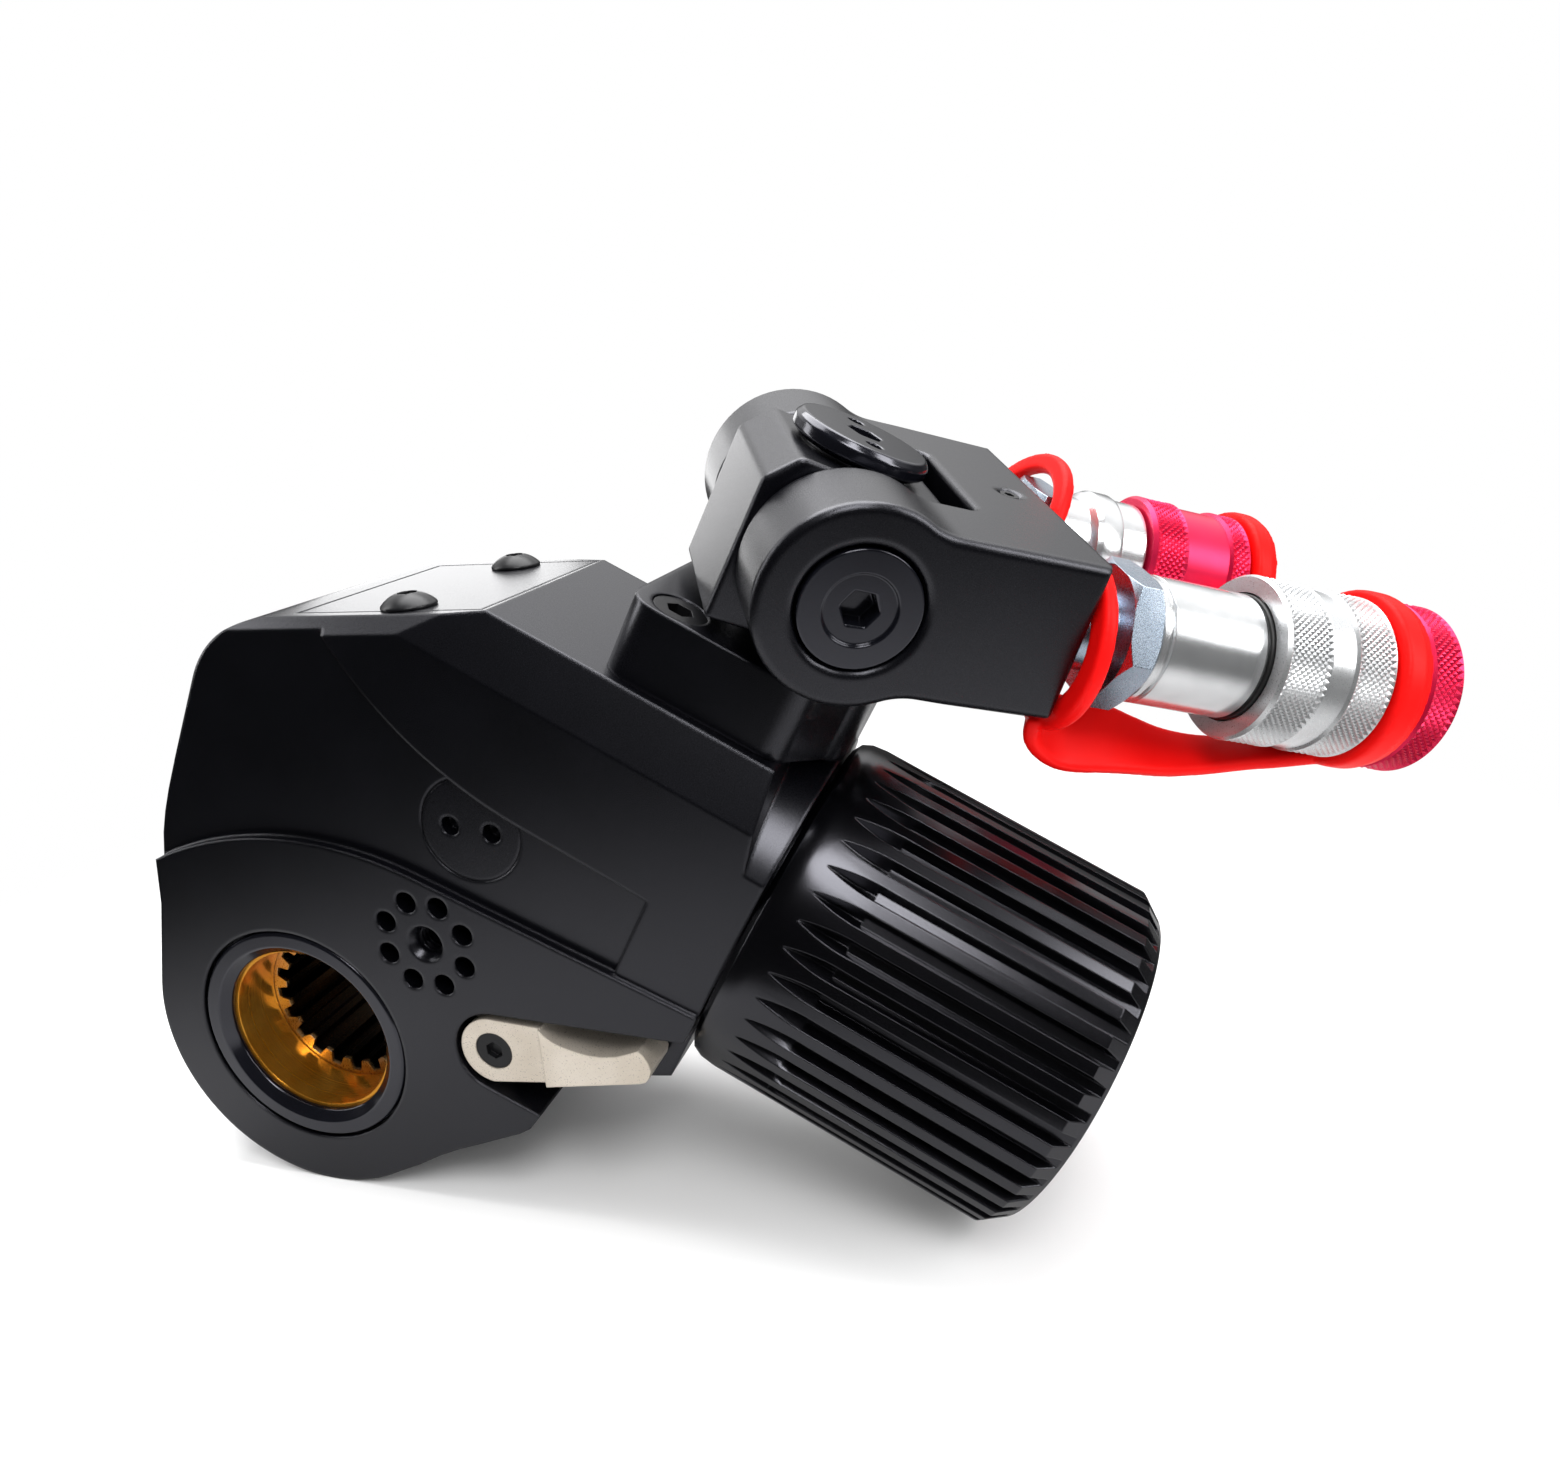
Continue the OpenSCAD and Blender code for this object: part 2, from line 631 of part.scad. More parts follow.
// Fork with round ears and a solid manifold end
module yoke() {
    top_h = 12.8;
    low_h = 12.2;
    blend_r = 11;
    slot_y = 13.9;
    crotch_r = 20.7;
    crotch_a = 16.5;
    top_a = asin((top_h + blend_r) / (ear_r + blend_r));
    low_a = asin((low_h + blend_r) / (ear_r + blend_r));
    color("#232528") placed() on_fork() difference() {
        intersection() {
            across(-ear_y - 2, ear_y + 2) polygon(concat([[fork_l, top_h]],
                ear_fillet(ear_r, top_h, blend_r, 8), arc([0, 0], ear_r, top_a + 2, 360 - low_a - 2, 44),
                ear_fillet(ear_r, -low_h, blend_r, 8), [[fork_l, -low_h]]));
            translate([0, 0, -30]) linear_extrude(60) polygon([[-30, -ear_y], [16.7, -ear_y],
                [fork_l + 1, -ear_y + 0.9], [fork_l + 1, ear_y - 0.9], [16.7, ear_y], [-30, ear_y]]);
        }
        rotate([0, -crotch_a, 0]) translate([crotch_r - 60, -slot_y, -40]) cube([60, 2 * slot_y, 80]);
        for (side = [-1, 1]) {
            scale_y(side) bar_y([0, 0], 6.02, 10, ear_y + 1);
            scale_y(side) bar_y([0, 0], 9.3, ear_y - 3, ear_y + 1);
            translate([24, side * port_y, 0]) rotate([0, 90, 0]) cylinder(r = 6.52, h = 20);
        }
        translate([28.6, 0, 9]) cylinder(r = 1.65, h = 8);
    }
}

// Trunnion pin with a flush head and a hexagon socket
module trunnion_pin(side) {
    color("#2b2d31") placed() on_fork() scale_y(side) difference() {
        union() {
            bar_y([0, 0], 6, 11.2, ear_y - 0.2);
            bar_y([0, 0], 9, ear_y - 2.95, ear_y - 0.15);
        }
        bar_y([0, 0], 5.4, ear_y - 0.7, ear_y + 1);
        translate([0, ear_y + 1, 0]) rotate([90, 0, 0]) cylinder(r = 2.9, h = 5, $fn = 6);
    }
}
module trunnion_pin_near() { trunnion_pin(-1); }
module trunnion_pin_far() { trunnion_pin(1); }

// Screwed plug in the top of the fork
module port_plug() {
    color("#17181a") placed() on_fork() translate([28.6, 0, 9.1]) difference() {
        cylinder(r = 1.6, h = 3.4);
        translate([0, 0, 1.6]) cylinder(r = 0.9, h = 4, $fn = 6);
    }
}

// Threaded adapter with a hexagon, screwed into the fork
module adapter(side) {
    end_s = hex_s + hex_l;
    color("#b9bfc8") placed() on_port(side) {
        translate([0, 0, 24.2]) cylinder(r = 6.5, h = hex_s - 24);
        intersection() {
            translate([0, 0, hex_s]) rotate(30) cylinder(r = 11.8, h = hex_l, $fn = 6);
            rotate_extrude() polygon([[0, hex_s], [10.4, hex_s], [11.8, hex_s + 0.9], [11.8, end_s - 0.9],
                [10.4, end_s], [0, end_s]]);
        }
    }
}
module near_adapter() { adapter(-1); }
module far_adapter() { adapter(1); }

// Body of the near coupler half
module near_coupler_body() {
    color("#c9ccd0") placed() on_port(-1) rotate_extrude() polygon([[0, 46.05], [9.5, 46.05], [10, 46.5],
        [10, 47.4], [9.5, 47.6], [9.5, 48.2], [10, 48.4], [10, 64.3], [9.3, 64.5], [9.3, 66.3], [10, 66.5],
        [10, 80], [9.2, 81], [0, 81]]);
}

// Ring seal that shows in the mouth of the sleeve
module near_oring() {
    color("#141416") placed() on_port(-1) rotate_extrude()
        translate([10.02, 65.4]) circle(r = 0.68, $fn = 24);
}

// Knurled threaded sleeve that turns on the near coupler
module near_sleeve() {
    waist_r = sleeve_r - 0.5;
    color("#d9dcdf") placed() on_port(-1) rotate_extrude() polygon([[11.2, 65.5], [12.9, 65.5],
        [sleeve_r, 66.1], [sleeve_r, 73.6], [waist_r, 74], [waist_r, 78], [sleeve_r, 78.4], [sleeve_r, 85.2],
        [12.8, 85.7], [10.6, 85.7], [10.6, 79], [10.06, 79], [10.06, 70], [11.2, 70]]);
}

// Red anodised plug of the near coupler
module near_dust_plug() {
    color("#c2183c") placed() on_port(-1) rotate_extrude() polygon([[0, 81.4], [9.6, 81.4], [10.2, 82],
        [10.2, 91.7], [13.4, 91.7], [13.9, 92.2], [13.9, 97.4], [13.3, 98], [0, 98]]);
}

// Strap of red rubber: an eye round the adapter, a hanging band and a ring round the cap
module strap(side, eye, ring_r0, ring_r1, s0, s1, low) {
    color("#e0101a") placed() {
        on_fork() translate([eye_s, side * port_y + eye[0], eye[1]]) rotate([0, 90, 0]) difference() {
            cylinder(r = eye_out, h = 2.4);
            translate([0, 0, -1]) cylinder(r = eye_in, h = 5);
        }
        on_port(side) translate([0, 0, s0]) difference() {
            cylinder(r = ring_r1, h = s1 - s0);
            translate([0, 0, -1]) cylinder(r = ring_r0, h = s1 - s0 + 2);
        }
        on_fork() translate([0, side * port_y, 0]) across(-5, 5)
            polygon(band([[eye_s + 1.2, eye[1] - eye_out + 1.2], [eye_s + 0.7, low], [58, low - 6],
                [(s0 + s1) / 2, 0.4 - ring_r1]], 2.4, 22));
    }
}
module near_strap() { strap(-1, [0, -2.5], 10.35, 14.7, 86, 91.5, -25); }
module far_strap() { strap(1, [0, 1.2], 9.75, 13.4, 84, 88.8, -24); }

// Nipple of the far coupler half
module far_nipple() {
    color("#c9ccd0") placed() on_port(1) rotate_extrude() polygon([[0, 46.05], [8.9, 46.05], [9.4, 46.5],
        [9.4, 51.8], [10.6, 52.6], [11.1, 53.6], [11.1, 56.8], [10.8, 57.6], [10.4, 57.8], [10.4, 62.6],
        [8.2, 62.9], [8.2, 78], [7.4, 79], [0, 79]]);
}

// Red anodised cap of the far coupler
module far_dust_cap() {
    waist_r = cap_r - 0.6;
    color("#c2183c") placed() on_port(1) rotate_extrude() polygon([[8.6, 63.2], [waist_r, 63.2],
        [cap_r, 63.9], [cap_r, 70.2], [waist_r, 70.6], [waist_r, 79.2], [cap_r, 79.6], [cap_r, 83.2],
        [waist_r, 83.8], [9.6, 83.8], [9.6, 89.5], [0, 89.5], [0, 79.6], [8.6, 79.6]]);
}

housing();
front_cover();
cover_screw_near();
cover_screw_far();
near_bush();
far_bush();
near_bush_ring();
far_bush_ring();
near_access_plug();
far_access_plug();
cylinder_barrel();
end_cap();
end_cap_seal();
rod_gland();
gland_seal();
swivel_base();
base_screw_1();
base_screw_2();
base_screw_3();
base_screw_4();
swivel_post();
post_cap();
pawl_return_spring();
crank_plate_near();
crank_plate_far();
crank_bridge();
crank_pin();
drive_pawl();
pawl_spring_near();
pawl_spring_far();
ratchet();
piston();
piston_seal();
piston_rod();
lever_shaft();
holding_pawl();
release_lever();
lever_screw();
swivel_block();
post_seal_upper();
post_seal_lower();
yoke();
trunnion_pin_near();
trunnion_pin_far();
port_plug();
near_adapter();
near_coupler_body();
near_oring();
near_sleeve();
near_dust_plug();
near_strap();
far_adapter();
far_nipple();
far_dust_cap();
far_strap();
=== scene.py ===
"""Looks of the hydraulic torque wrench: finishes, rounded edges, knurls, springs and rubber straps."""
import json
import math

import bmesh
import bpy
from mathutils import Matrix, Vector


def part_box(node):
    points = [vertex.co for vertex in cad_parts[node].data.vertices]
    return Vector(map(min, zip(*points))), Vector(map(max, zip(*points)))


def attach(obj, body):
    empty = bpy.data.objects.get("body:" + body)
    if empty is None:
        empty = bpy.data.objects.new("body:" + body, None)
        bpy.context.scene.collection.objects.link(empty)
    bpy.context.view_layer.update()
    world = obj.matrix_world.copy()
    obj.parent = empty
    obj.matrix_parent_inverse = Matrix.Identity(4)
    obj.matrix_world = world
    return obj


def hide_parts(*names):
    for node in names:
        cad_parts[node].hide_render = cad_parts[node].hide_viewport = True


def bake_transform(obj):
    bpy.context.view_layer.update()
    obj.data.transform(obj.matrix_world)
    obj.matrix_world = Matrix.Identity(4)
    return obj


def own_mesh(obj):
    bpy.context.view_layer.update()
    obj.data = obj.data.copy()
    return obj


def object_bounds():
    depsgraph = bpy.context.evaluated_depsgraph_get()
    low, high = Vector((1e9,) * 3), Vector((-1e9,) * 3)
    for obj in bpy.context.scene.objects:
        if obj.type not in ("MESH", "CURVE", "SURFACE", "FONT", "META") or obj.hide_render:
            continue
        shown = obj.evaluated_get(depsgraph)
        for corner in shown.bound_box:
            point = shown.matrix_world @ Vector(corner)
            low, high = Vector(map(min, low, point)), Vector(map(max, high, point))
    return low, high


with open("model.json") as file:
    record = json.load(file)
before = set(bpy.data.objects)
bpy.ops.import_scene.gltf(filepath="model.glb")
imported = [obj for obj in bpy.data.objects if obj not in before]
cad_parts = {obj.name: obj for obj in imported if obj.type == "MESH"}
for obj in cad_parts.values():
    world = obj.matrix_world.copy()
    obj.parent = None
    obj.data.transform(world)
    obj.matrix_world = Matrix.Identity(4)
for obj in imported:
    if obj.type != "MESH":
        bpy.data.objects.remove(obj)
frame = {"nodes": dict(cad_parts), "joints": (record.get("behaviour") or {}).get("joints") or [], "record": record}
cad_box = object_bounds()

# The scene is in metres, and the sizes below are in millimetres unless they say otherwise
MM = 0.001
FULL_TURN = 2 * math.pi
nodes = frame["nodes"]
joints = {joint["name"]: joint for joint in frame["joints"]}
mounts = {mount["name"]: mount for mount in frame["record"]["mounts"]}

# Axes of the couplers, worked out from the joints: s along them, e to the far side, h up
COUPLER_S = Vector(joints["near_sleeve_spin"]["axis"]).normalized()
COUPLER_E = -Vector(joints["fork_pitch"]["axis"]).normalized()
COUPLER_H = COUPLER_S.cross(COUPLER_E).normalized()
FORK_ORIGIN = Vector(joints["fork_pitch"]["pos_m"])
PORT_OFFSET = 19.7 * MM


def coupler_matrix(e):
    """Matrix whose X, Y and Z axes are e, h and s of a coupler that lies e to the far side of the middle."""
    turn = Matrix((COUPLER_E, COUPLER_H, COUPLER_S)).transposed().to_4x4()
    return Matrix.Translation(FORK_ORIGIN + COUPLER_E * e) @ turn


NEAR = coupler_matrix(-PORT_OFFSET)
FAR = coupler_matrix(PORT_OFFSET)


# Materials

CLOUD_SCALE = 90.0
TURNED_CLOUD_SCALE = 160.0
CLOUD_DETAIL = 4.0
FINE_DETAIL = 3.0
BEVEL_SAMPLES = 6


def new_material(name):
    """A node material with a Principled shader."""
    material = bpy.data.materials.new(name)
    material.use_nodes = True
    tree = material.node_tree
    return material, tree, tree.nodes["Principled BSDF"]


def add(tree, kind, **values):
    """Adds a node and sets its properties, or its inputs where the name is that of a socket."""
    node = tree.nodes.new(kind)
    for key, value in values.items():
        socket = key.replace("_", " ").title()
        if socket in node.inputs:
            node.inputs[socket].default_value = value
        else:
            setattr(node, key, value)
    return node


def noise(tree, place, scale, detail):
    """Noise over a place on the surface."""
    node = add(tree, "ShaderNodeTexNoise", scale=scale, detail=detail)
    tree.links.new(place, node.inputs["Vector"])
    return node.outputs["Fac"]


def ramp(tree, source, low, high, low_at=0.3, high_at=0.7):
    """Colour ramp between two colours or greys."""
    node = tree.nodes.new("ShaderNodeValToRGB")
    for element, place, value in zip(node.color_ramp.elements, (low_at, high_at), (low, high)):
        element.position = place
        element.color = (*value, 1.0) if isinstance(value, tuple) else (value, value, value, 1.0)
    tree.links.new(source, node.inputs["Fac"])
    return node.outputs["Color"]


def relief(tree, shader, height, depth, edge):
    """Bump of a depth in millimetres over edges that catch the light as if rounded by edge millimetres."""
    bump = add(tree, "ShaderNodeBump", strength=1.0, distance=depth * MM)
    tree.links.new(height, bump.inputs["Height"])
    if edge:
        corner = add(tree, "ShaderNodeBevel", samples=BEVEL_SAMPLES, radius=edge * MM)
        tree.links.new(corner.outputs["Normal"], bump.inputs["Normal"])
    tree.links.new(bump.outputs["Normal"], shader.inputs["Normal"])


def surface(name, low, high, metallic, rough, grain, depth, specular=0.5, edge=0.0, tint=(1, 1, 1)):
    """Finish with a slow change of colour, and a fine grain in its gloss and surface.

    low and high are the two colours, rough the two roughnesses, grain and depth the size of the grain in
    millimetres, edge the radius in millimetres that edges seem to have, and tint the colour of the gloss.
    """
    material, tree, shader = new_material(name)
    place = add(tree, "ShaderNodeTexCoord").outputs["Object"]
    cloud = noise(tree, place, CLOUD_SCALE, CLOUD_DETAIL)
    fine = noise(tree, place, 1.0 / (grain * MM), FINE_DETAIL)
    gloss = ramp(tree, fine, *rough, low_at=0.25, high_at=0.75)
    tree.links.new(ramp(tree, cloud, low, high), shader.inputs["Base Color"])
    tree.links.new(gloss, shader.inputs["Roughness"])
    relief(tree, shader, fine, depth, edge)
    shader.inputs["Metallic"].default_value = metallic
    shader.inputs["Specular IOR Level"].default_value = specular
    shader.inputs["Specular Tint"].default_value = (*tint, 1.0)
    return material


def turned_surface(name, low, high, metallic, rough, axis, pitch, depth, edge):
    """Lathe-turned metal with fine rings along an axis, whose pitch and depth are in millimetres."""
    material, tree, shader = new_material(name)
    place = add(tree, "ShaderNodeTexCoord").outputs["Object"]
    along = add(tree, "ShaderNodeVectorMath", operation="DOT_PRODUCT")
    along.inputs[1].default_value = Vector(axis).normalized()
    tree.links.new(place, along.inputs[0])
    rings = add(tree, "ShaderNodeTexNoise", noise_dimensions="1D", scale=1.0 / (pitch * MM),
                detail=FINE_DETAIL)
    tree.links.new(along.outputs["Value"], rings.inputs["W"])
    cloud = noise(tree, place, TURNED_CLOUD_SCALE, FINE_DETAIL)
    tree.links.new(ramp(tree, cloud, low, high), shader.inputs["Base Color"])
    tree.links.new(ramp(tree, rings.outputs["Fac"], *rough), shader.inputs["Roughness"])
    relief(tree, shader, rings.outputs["Fac"], depth, edge)
    shader.inputs["Metallic"].default_value = metallic
    return material


def ratchet_surface(name, painted_shade_colour, painted_light_colour, painted_light_from_y, painted_light_fade, rough, grain, depth, edge):
    """Bronze-coated steel, painted near black towards its middle as painted shade.

    Painted light brightens the ends of its teeth beyond a set distance along Y, in millimetres, fading in over a
    set width.
    """
    material, tree, shader = new_material(name)
    place = add(tree, "ShaderNodeTexCoord").outputs["Object"]
    parts = add(tree, "ShaderNodeSeparateXYZ")
    tree.links.new(place, parts.inputs["Vector"])
    # Painted light and shade by distance along Y: painted shade in the middle, painted light on the teeth's ends
    away = add(tree, "ShaderNodeMath", operation="ABSOLUTE")
    tree.links.new(parts.outputs["Y"], away.inputs[0])
    painted_light_share = add(tree, "ShaderNodeMapRange", interpolation_type="SMOOTHSTEP",
               from_min=(painted_light_from_y - painted_light_fade) * MM, from_max=painted_light_from_y * MM)
    tree.links.new(away.outputs["Value"], painted_light_share.inputs["Value"])
    colour = ramp(tree, painted_light_share.outputs["Result"], painted_shade_colour, painted_light_colour, low_at=0.0, high_at=1.0)
    tree.links.new(colour, shader.inputs["Base Color"])
    fine = noise(tree, place, 1.0 / (grain * MM), FINE_DETAIL)
    tree.links.new(ramp(tree, fine, *rough), shader.inputs["Roughness"])
    relief(tree, shader, fine, depth, edge)
    shader.inputs["Metallic"].default_value = 1.0
    return material


DRIVE_AXIS = (0, 1, 0)
BLUE_GLOSS = (0.90, 0.90, 1.0)
PLAIN_FINISHES = {
    "black_anodised": dict(
        low=(0.0010, 0.0011, 0.0020), high=(0.0018, 0.0019, 0.0032), metallic=0.0, rough=(0.24, 0.32),
        grain=0.10, depth=0.0020, specular=0.65, edge=0.9, tint=BLUE_GLOSS),
    "barrel_black": dict(
        low=(0.0008, 0.0008, 0.0012), high=(0.0014, 0.0014, 0.0020), metallic=0.0, rough=(0.16, 0.24),
        grain=0.10, depth=0.0015, specular=0.70, edge=0.35, tint=BLUE_GLOSS),
    "dark_ring": dict(
        low=(0.0030, 0.0032, 0.0050), high=(0.0050, 0.0053, 0.0080), metallic=0.0, rough=(0.12, 0.20),
        grain=0.1, depth=0.001, specular=0.8, edge=0.3, tint=BLUE_GLOSS),
    "black_screw": dict(
        low=(0.006, 0.006, 0.007), high=(0.012, 0.012, 0.014), metallic=0.3, rough=(0.26, 0.42),
        grain=0.1, depth=0.004, edge=0.2),
    "seal_rubber": dict(
        low=(0.008, 0.008, 0.008), high=(0.014, 0.014, 0.014), metallic=0.0, rough=(0.40, 0.55),
        grain=0.2, depth=0.004),
    "tool_steel": dict(
        low=(0.16, 0.16, 0.17), high=(0.24, 0.24, 0.25), metallic=1.0, rough=(0.3, 0.5),
        grain=0.15, depth=0.004),
    "ground_steel": dict(
        low=(0.6, 0.6, 0.61), high=(0.72, 0.72, 0.73), metallic=1.0, rough=(0.1, 0.22),
        grain=0.1, depth=0.001),
    "spring_steel": dict(
        low=(0.36, 0.36, 0.37), high=(0.48, 0.48, 0.5), metallic=1.0, rough=(0.25, 0.4),
        grain=0.2, depth=0.004),
    "polished_nickel": dict(
        low=(0.60, 0.53, 0.44), high=(0.74, 0.67, 0.58), metallic=0.5, rough=(0.24, 0.40),
        grain=0.25, depth=0.003, edge=0.35),
    "zinc_steel": dict(
        low=(0.34, 0.42, 0.52), high=(0.54, 0.61, 0.70), metallic=1.0, rough=(0.20, 0.32),
        grain=0.18, depth=0.0012, edge=0.15),
    "knurled_nickel": dict(
        low=(0.60, 0.61, 0.62), high=(0.72, 0.73, 0.74), metallic=0.80, rough=(0.25, 0.35),
        grain=0.2, depth=0.001),
    "red_anodised": dict(
        low=(0.68, 0.010, 0.066), high=(0.84, 0.017, 0.092), metallic=0.66, rough=(0.26, 0.38),
        grain=0.1, depth=0.002),
    "red_rubber": dict(
        low=(0.82, 0.003, 0.003), high=(0.88, 0.005, 0.004), metallic=0.0, rough=(0.36, 0.48),
        grain=0.15, depth=0.003, specular=0.1),
}
TURNED_FINISHES = {
    "bronze": dict(
        low=(0.74, 0.28, 0.018), high=(0.96, 0.46, 0.060), metallic=0.85, rough=(0.14, 0.28),
        axis=DRIVE_AXIS, pitch=0.25, depth=0.0009, edge=0.3),
    "nickel_steel": dict(
        low=(0.64, 0.65, 0.66), high=(0.78, 0.79, 0.80), metallic=0.85, rough=(0.17, 0.26),
        axis=COUPLER_S, pitch=0.18, depth=0.0008, edge=0.2),
}
# Ratchet colours: a near black painted shade inside, and a cream painted light on the ends of its teeth
RATCHET_FINISH = dict(
    painted_shade_colour=(0.006, 0.004, 0.002), painted_light_colour=(0.86, 0.66, 0.38), painted_light_from_y=14.9, painted_light_fade=0.9,
    rough=(0.22, 0.42), grain=0.3, depth=0.004, edge=0.15)
finish = {name: surface(name, **values) for name, values in PLAIN_FINISHES.items()}
finish.update({name: turned_surface(name, **values) for name, values in TURNED_FINISHES.items()})
finish["bronzed_steel"] = ratchet_surface("bronzed_steel", **RATCHET_FINISH)


# Shading and edges of the carried-over solids

slot_of = {part["node"]: part["material_slot"] for part in frame["record"]["subparts"]}
EDGE_ANGLE = math.radians(24)
FLAT_ANGLE = math.radians(0.5)
ROUNDED_ANGLE = math.radians(30)
WELD_DISTANCE = 0.001 * MM

# Widths of the rounded edges
ROUNDING = {
    "swivel_block": 0.8,
    "yoke": 1.3,
    "post_cap": 0.3,
    "front_cover": 0.3,
    "near_bush_ring": 0.25,
    "far_bush_ring": 0.25,
    "trunnion_pin_near": 0.25,
    "trunnion_pin_far": 0.25,
    "end_cap": 0.3,
    "cover_screw_near": 0.2,
    "cover_screw_far": 0.2,
}


def smooth_group():
    """Node group of a modifier that shades a mesh smooth, apart from edges sharper than EDGE_ANGLE."""
    group = bpy.data.node_groups.new("smooth_by_angle", "GeometryNodeTree")
    group.interface.new_socket("Geometry", in_out="INPUT", socket_type="NodeSocketGeometry")
    group.interface.new_socket("Geometry", in_out="OUTPUT", socket_type="NodeSocketGeometry")
    start = group.nodes.new("NodeGroupInput")
    end = group.nodes.new("NodeGroupOutput")
    drop = group.nodes.new("GeometryNodeRemoveAttribute")
    drop.inputs["Name"].default_value = "custom_normal"
    faces = group.nodes.new("GeometryNodeSetShadeSmooth")
    faces.domain = "FACE"
    edges = group.nodes.new("GeometryNodeSetShadeSmooth")
    edges.domain = "EDGE"
    angle = group.nodes.new("GeometryNodeInputMeshEdgeAngle")
    soft = group.nodes.new("FunctionNodeCompare")
    soft.data_type = "FLOAT"
    soft.operation = "LESS_THAN"
    soft.inputs["B"].default_value = EDGE_ANGLE
    link = group.links.new
    link(start.outputs[0], drop.inputs["Geometry"])
    link(drop.outputs["Geometry"], faces.inputs["Geometry"])
    link(faces.outputs["Geometry"], edges.inputs["Geometry"])
    link(angle.outputs["Unsigned Angle"], soft.inputs["A"])
    link(soft.outputs["Result"], edges.inputs["Shade Smooth"])
    link(edges.outputs["Geometry"], end.inputs[0])
    return group


SMOOTH = smooth_group()


def shade(piece):
    """Smooth shading by a modifier."""
    modifier = piece.modifiers.new("smooth", "NODES")
    modifier.node_group = SMOOTH


def weld(piece):
    """Joins the faces of a carried-over solid by a modifier, without moving its mesh."""
    modifier = piece.modifiers.new("weld", "WELD")
    modifier.merge_threshold = WELD_DISTANCE


def round_edges(piece, width, segments=3):
    """Rounds the sharp edges of a piece by modifiers."""
    flat = piece.modifiers.new("flat", "DECIMATE")
    flat.decimate_type = "DISSOLVE"
    flat.angle_limit = FLAT_ANGLE
    bevel = piece.modifiers.new("bevel", "BEVEL")
    bevel.width = width * MM
    bevel.segments = segments
    bevel.limit_method = "ANGLE"
    bevel.angle_limit = ROUNDED_ANGLE
    bevel.use_clamp_overlap = False
    bevel.harden_normals = True
    bevel.miter_outer = "MITER_ARC"


for node_name, piece in nodes.items():
    piece.data.materials.clear()
    piece.data.materials.append(finish[slot_of[node_name]])
    weld(piece)
    shade(piece)
    if node_name in ROUNDING:
        round_edges(piece, ROUNDING[node_name])


# Pieces made here

def new_piece(name, mesh, body, slot, *stands_for, look=None):
    """A piece that rides on a body and stands for CAD nodes. Its finish is look, or else its slot's."""
    piece = bpy.data.objects.new(name, mesh)
    bpy.context.scene.collection.objects.link(piece)
    mesh.materials.append(finish[look or slot])
    if stands_for:
        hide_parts(*stands_for)
    if body:
        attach(piece, body)
    return piece


def finished_mesh(build, name, matrix=None):
    """Mesh with all faces outwards. With a matrix, the points are millimetres in that matrix's frame."""
    if matrix is not None:
        for vertex in build.verts:
            vertex.co = matrix @ (vertex.co * MM)
    bmesh.ops.recalc_face_normals(build, faces=build.faces)
    mesh = bpy.data.meshes.new(name)
    build.to_mesh(mesh)
    build.free()
    return mesh


def loft(build, sections, closed):
    """Faces between a row of sections, which are lists of points, and end faces where it isn't closed."""
    rows = [[build.verts.new(point) for point in section] for section in sections]
    pairs = list(zip(rows, rows[1:]))
    if closed:
        pairs.append((rows[-1], rows[0]))
    for one, two in pairs:
        for here in range(len(one)):
            after = (here + 1) % len(one)
            build.faces.new([one[here], one[after], two[after], two[here]])
    if not closed:
        build.faces.new(rows[0])
        build.faces.new(list(reversed(rows[-1])))


# Knurled pieces

def knurl_rings(outline, zones, pitch):
    """Rings of a turned outline, as (radius, s, row). row counts half pitches in a knurl, or is None.

    outline is a list of (radius, s), and a zone is the number of the outline's point at which a knurl starts.
    """
    rings = []
    for number, (radius, s) in enumerate(outline):
        rings.append((radius, s, None))
        if number in zones:
            end = outline[number + 1][1]
            rows = 2 * round((end - s) / pitch)
            rings += [(radius, s + (end - s) * row / rows, row) for row in range(1, rows)]
    return rings


def knurl_points(build, matrix, ring, columns, depth):
    """Points round a ring. Every other one in a knurl is lower by depth, and with no radius all are one."""
    radius, s, row = ring
    if radius == 0:
        return [build.verts.new(matrix @ Vector((0, 0, s * MM)))] * columns
    points = []
    for column in range(columns):
        low = row is not None and (row + column) % 2
        here = (radius - depth if low else radius) * MM
        angle = FULL_TURN * column / columns
        point = Vector((here * math.cos(angle), here * math.sin(angle), s * MM))
        points.append(build.verts.new(matrix @ point))
    return points


def knurl_faces(build, one, two, row):
    """Faces between the points of two rings: triangles along the grooves in a knurl, or else squares."""
    for column in range(len(one)):
        after = (column + 1) % len(one)
        a = one[column]
        b = one[after]
        c = two[after]
        d = two[column]
        if a == b:
            build.faces.new([a, c, d])
        elif c == d:
            build.faces.new([a, b, c])
        elif row is None:
            build.faces.new([a, b, c, d])
        elif (row + column) % 2:
            build.faces.new([a, b, c])
            build.faces.new([a, c, d])
        else:
            build.faces.new([a, b, d])
            build.faces.new([b, c, d])


def knurled(name, matrix, outline, zones, pitch, depth):
    """Mesh of a turned piece with diamond knurls: rows of pyramids between grooves that cross at a slant."""
    rings = knurl_rings(outline, zones, pitch)
    columns = 2 * round(FULL_TURN * max(radius for radius, _ in outline) / pitch)
    build = bmesh.new()
    rows = [(ring[2], knurl_points(build, matrix, ring, columns, depth)) for ring in rings]
    pairs = list(zip(rows, rows[1:]))
    starts_on_axis = outline[0][0] == 0
    if not starts_on_axis:
        pairs.append((rows[-1], rows[0]))
    for (row, one), (next_row, two) in pairs:
        if row is None and next_row is not None:
            row = next_row - 1
        knurl_faces(build, one, two, row)
    return finished_mesh(build, name)


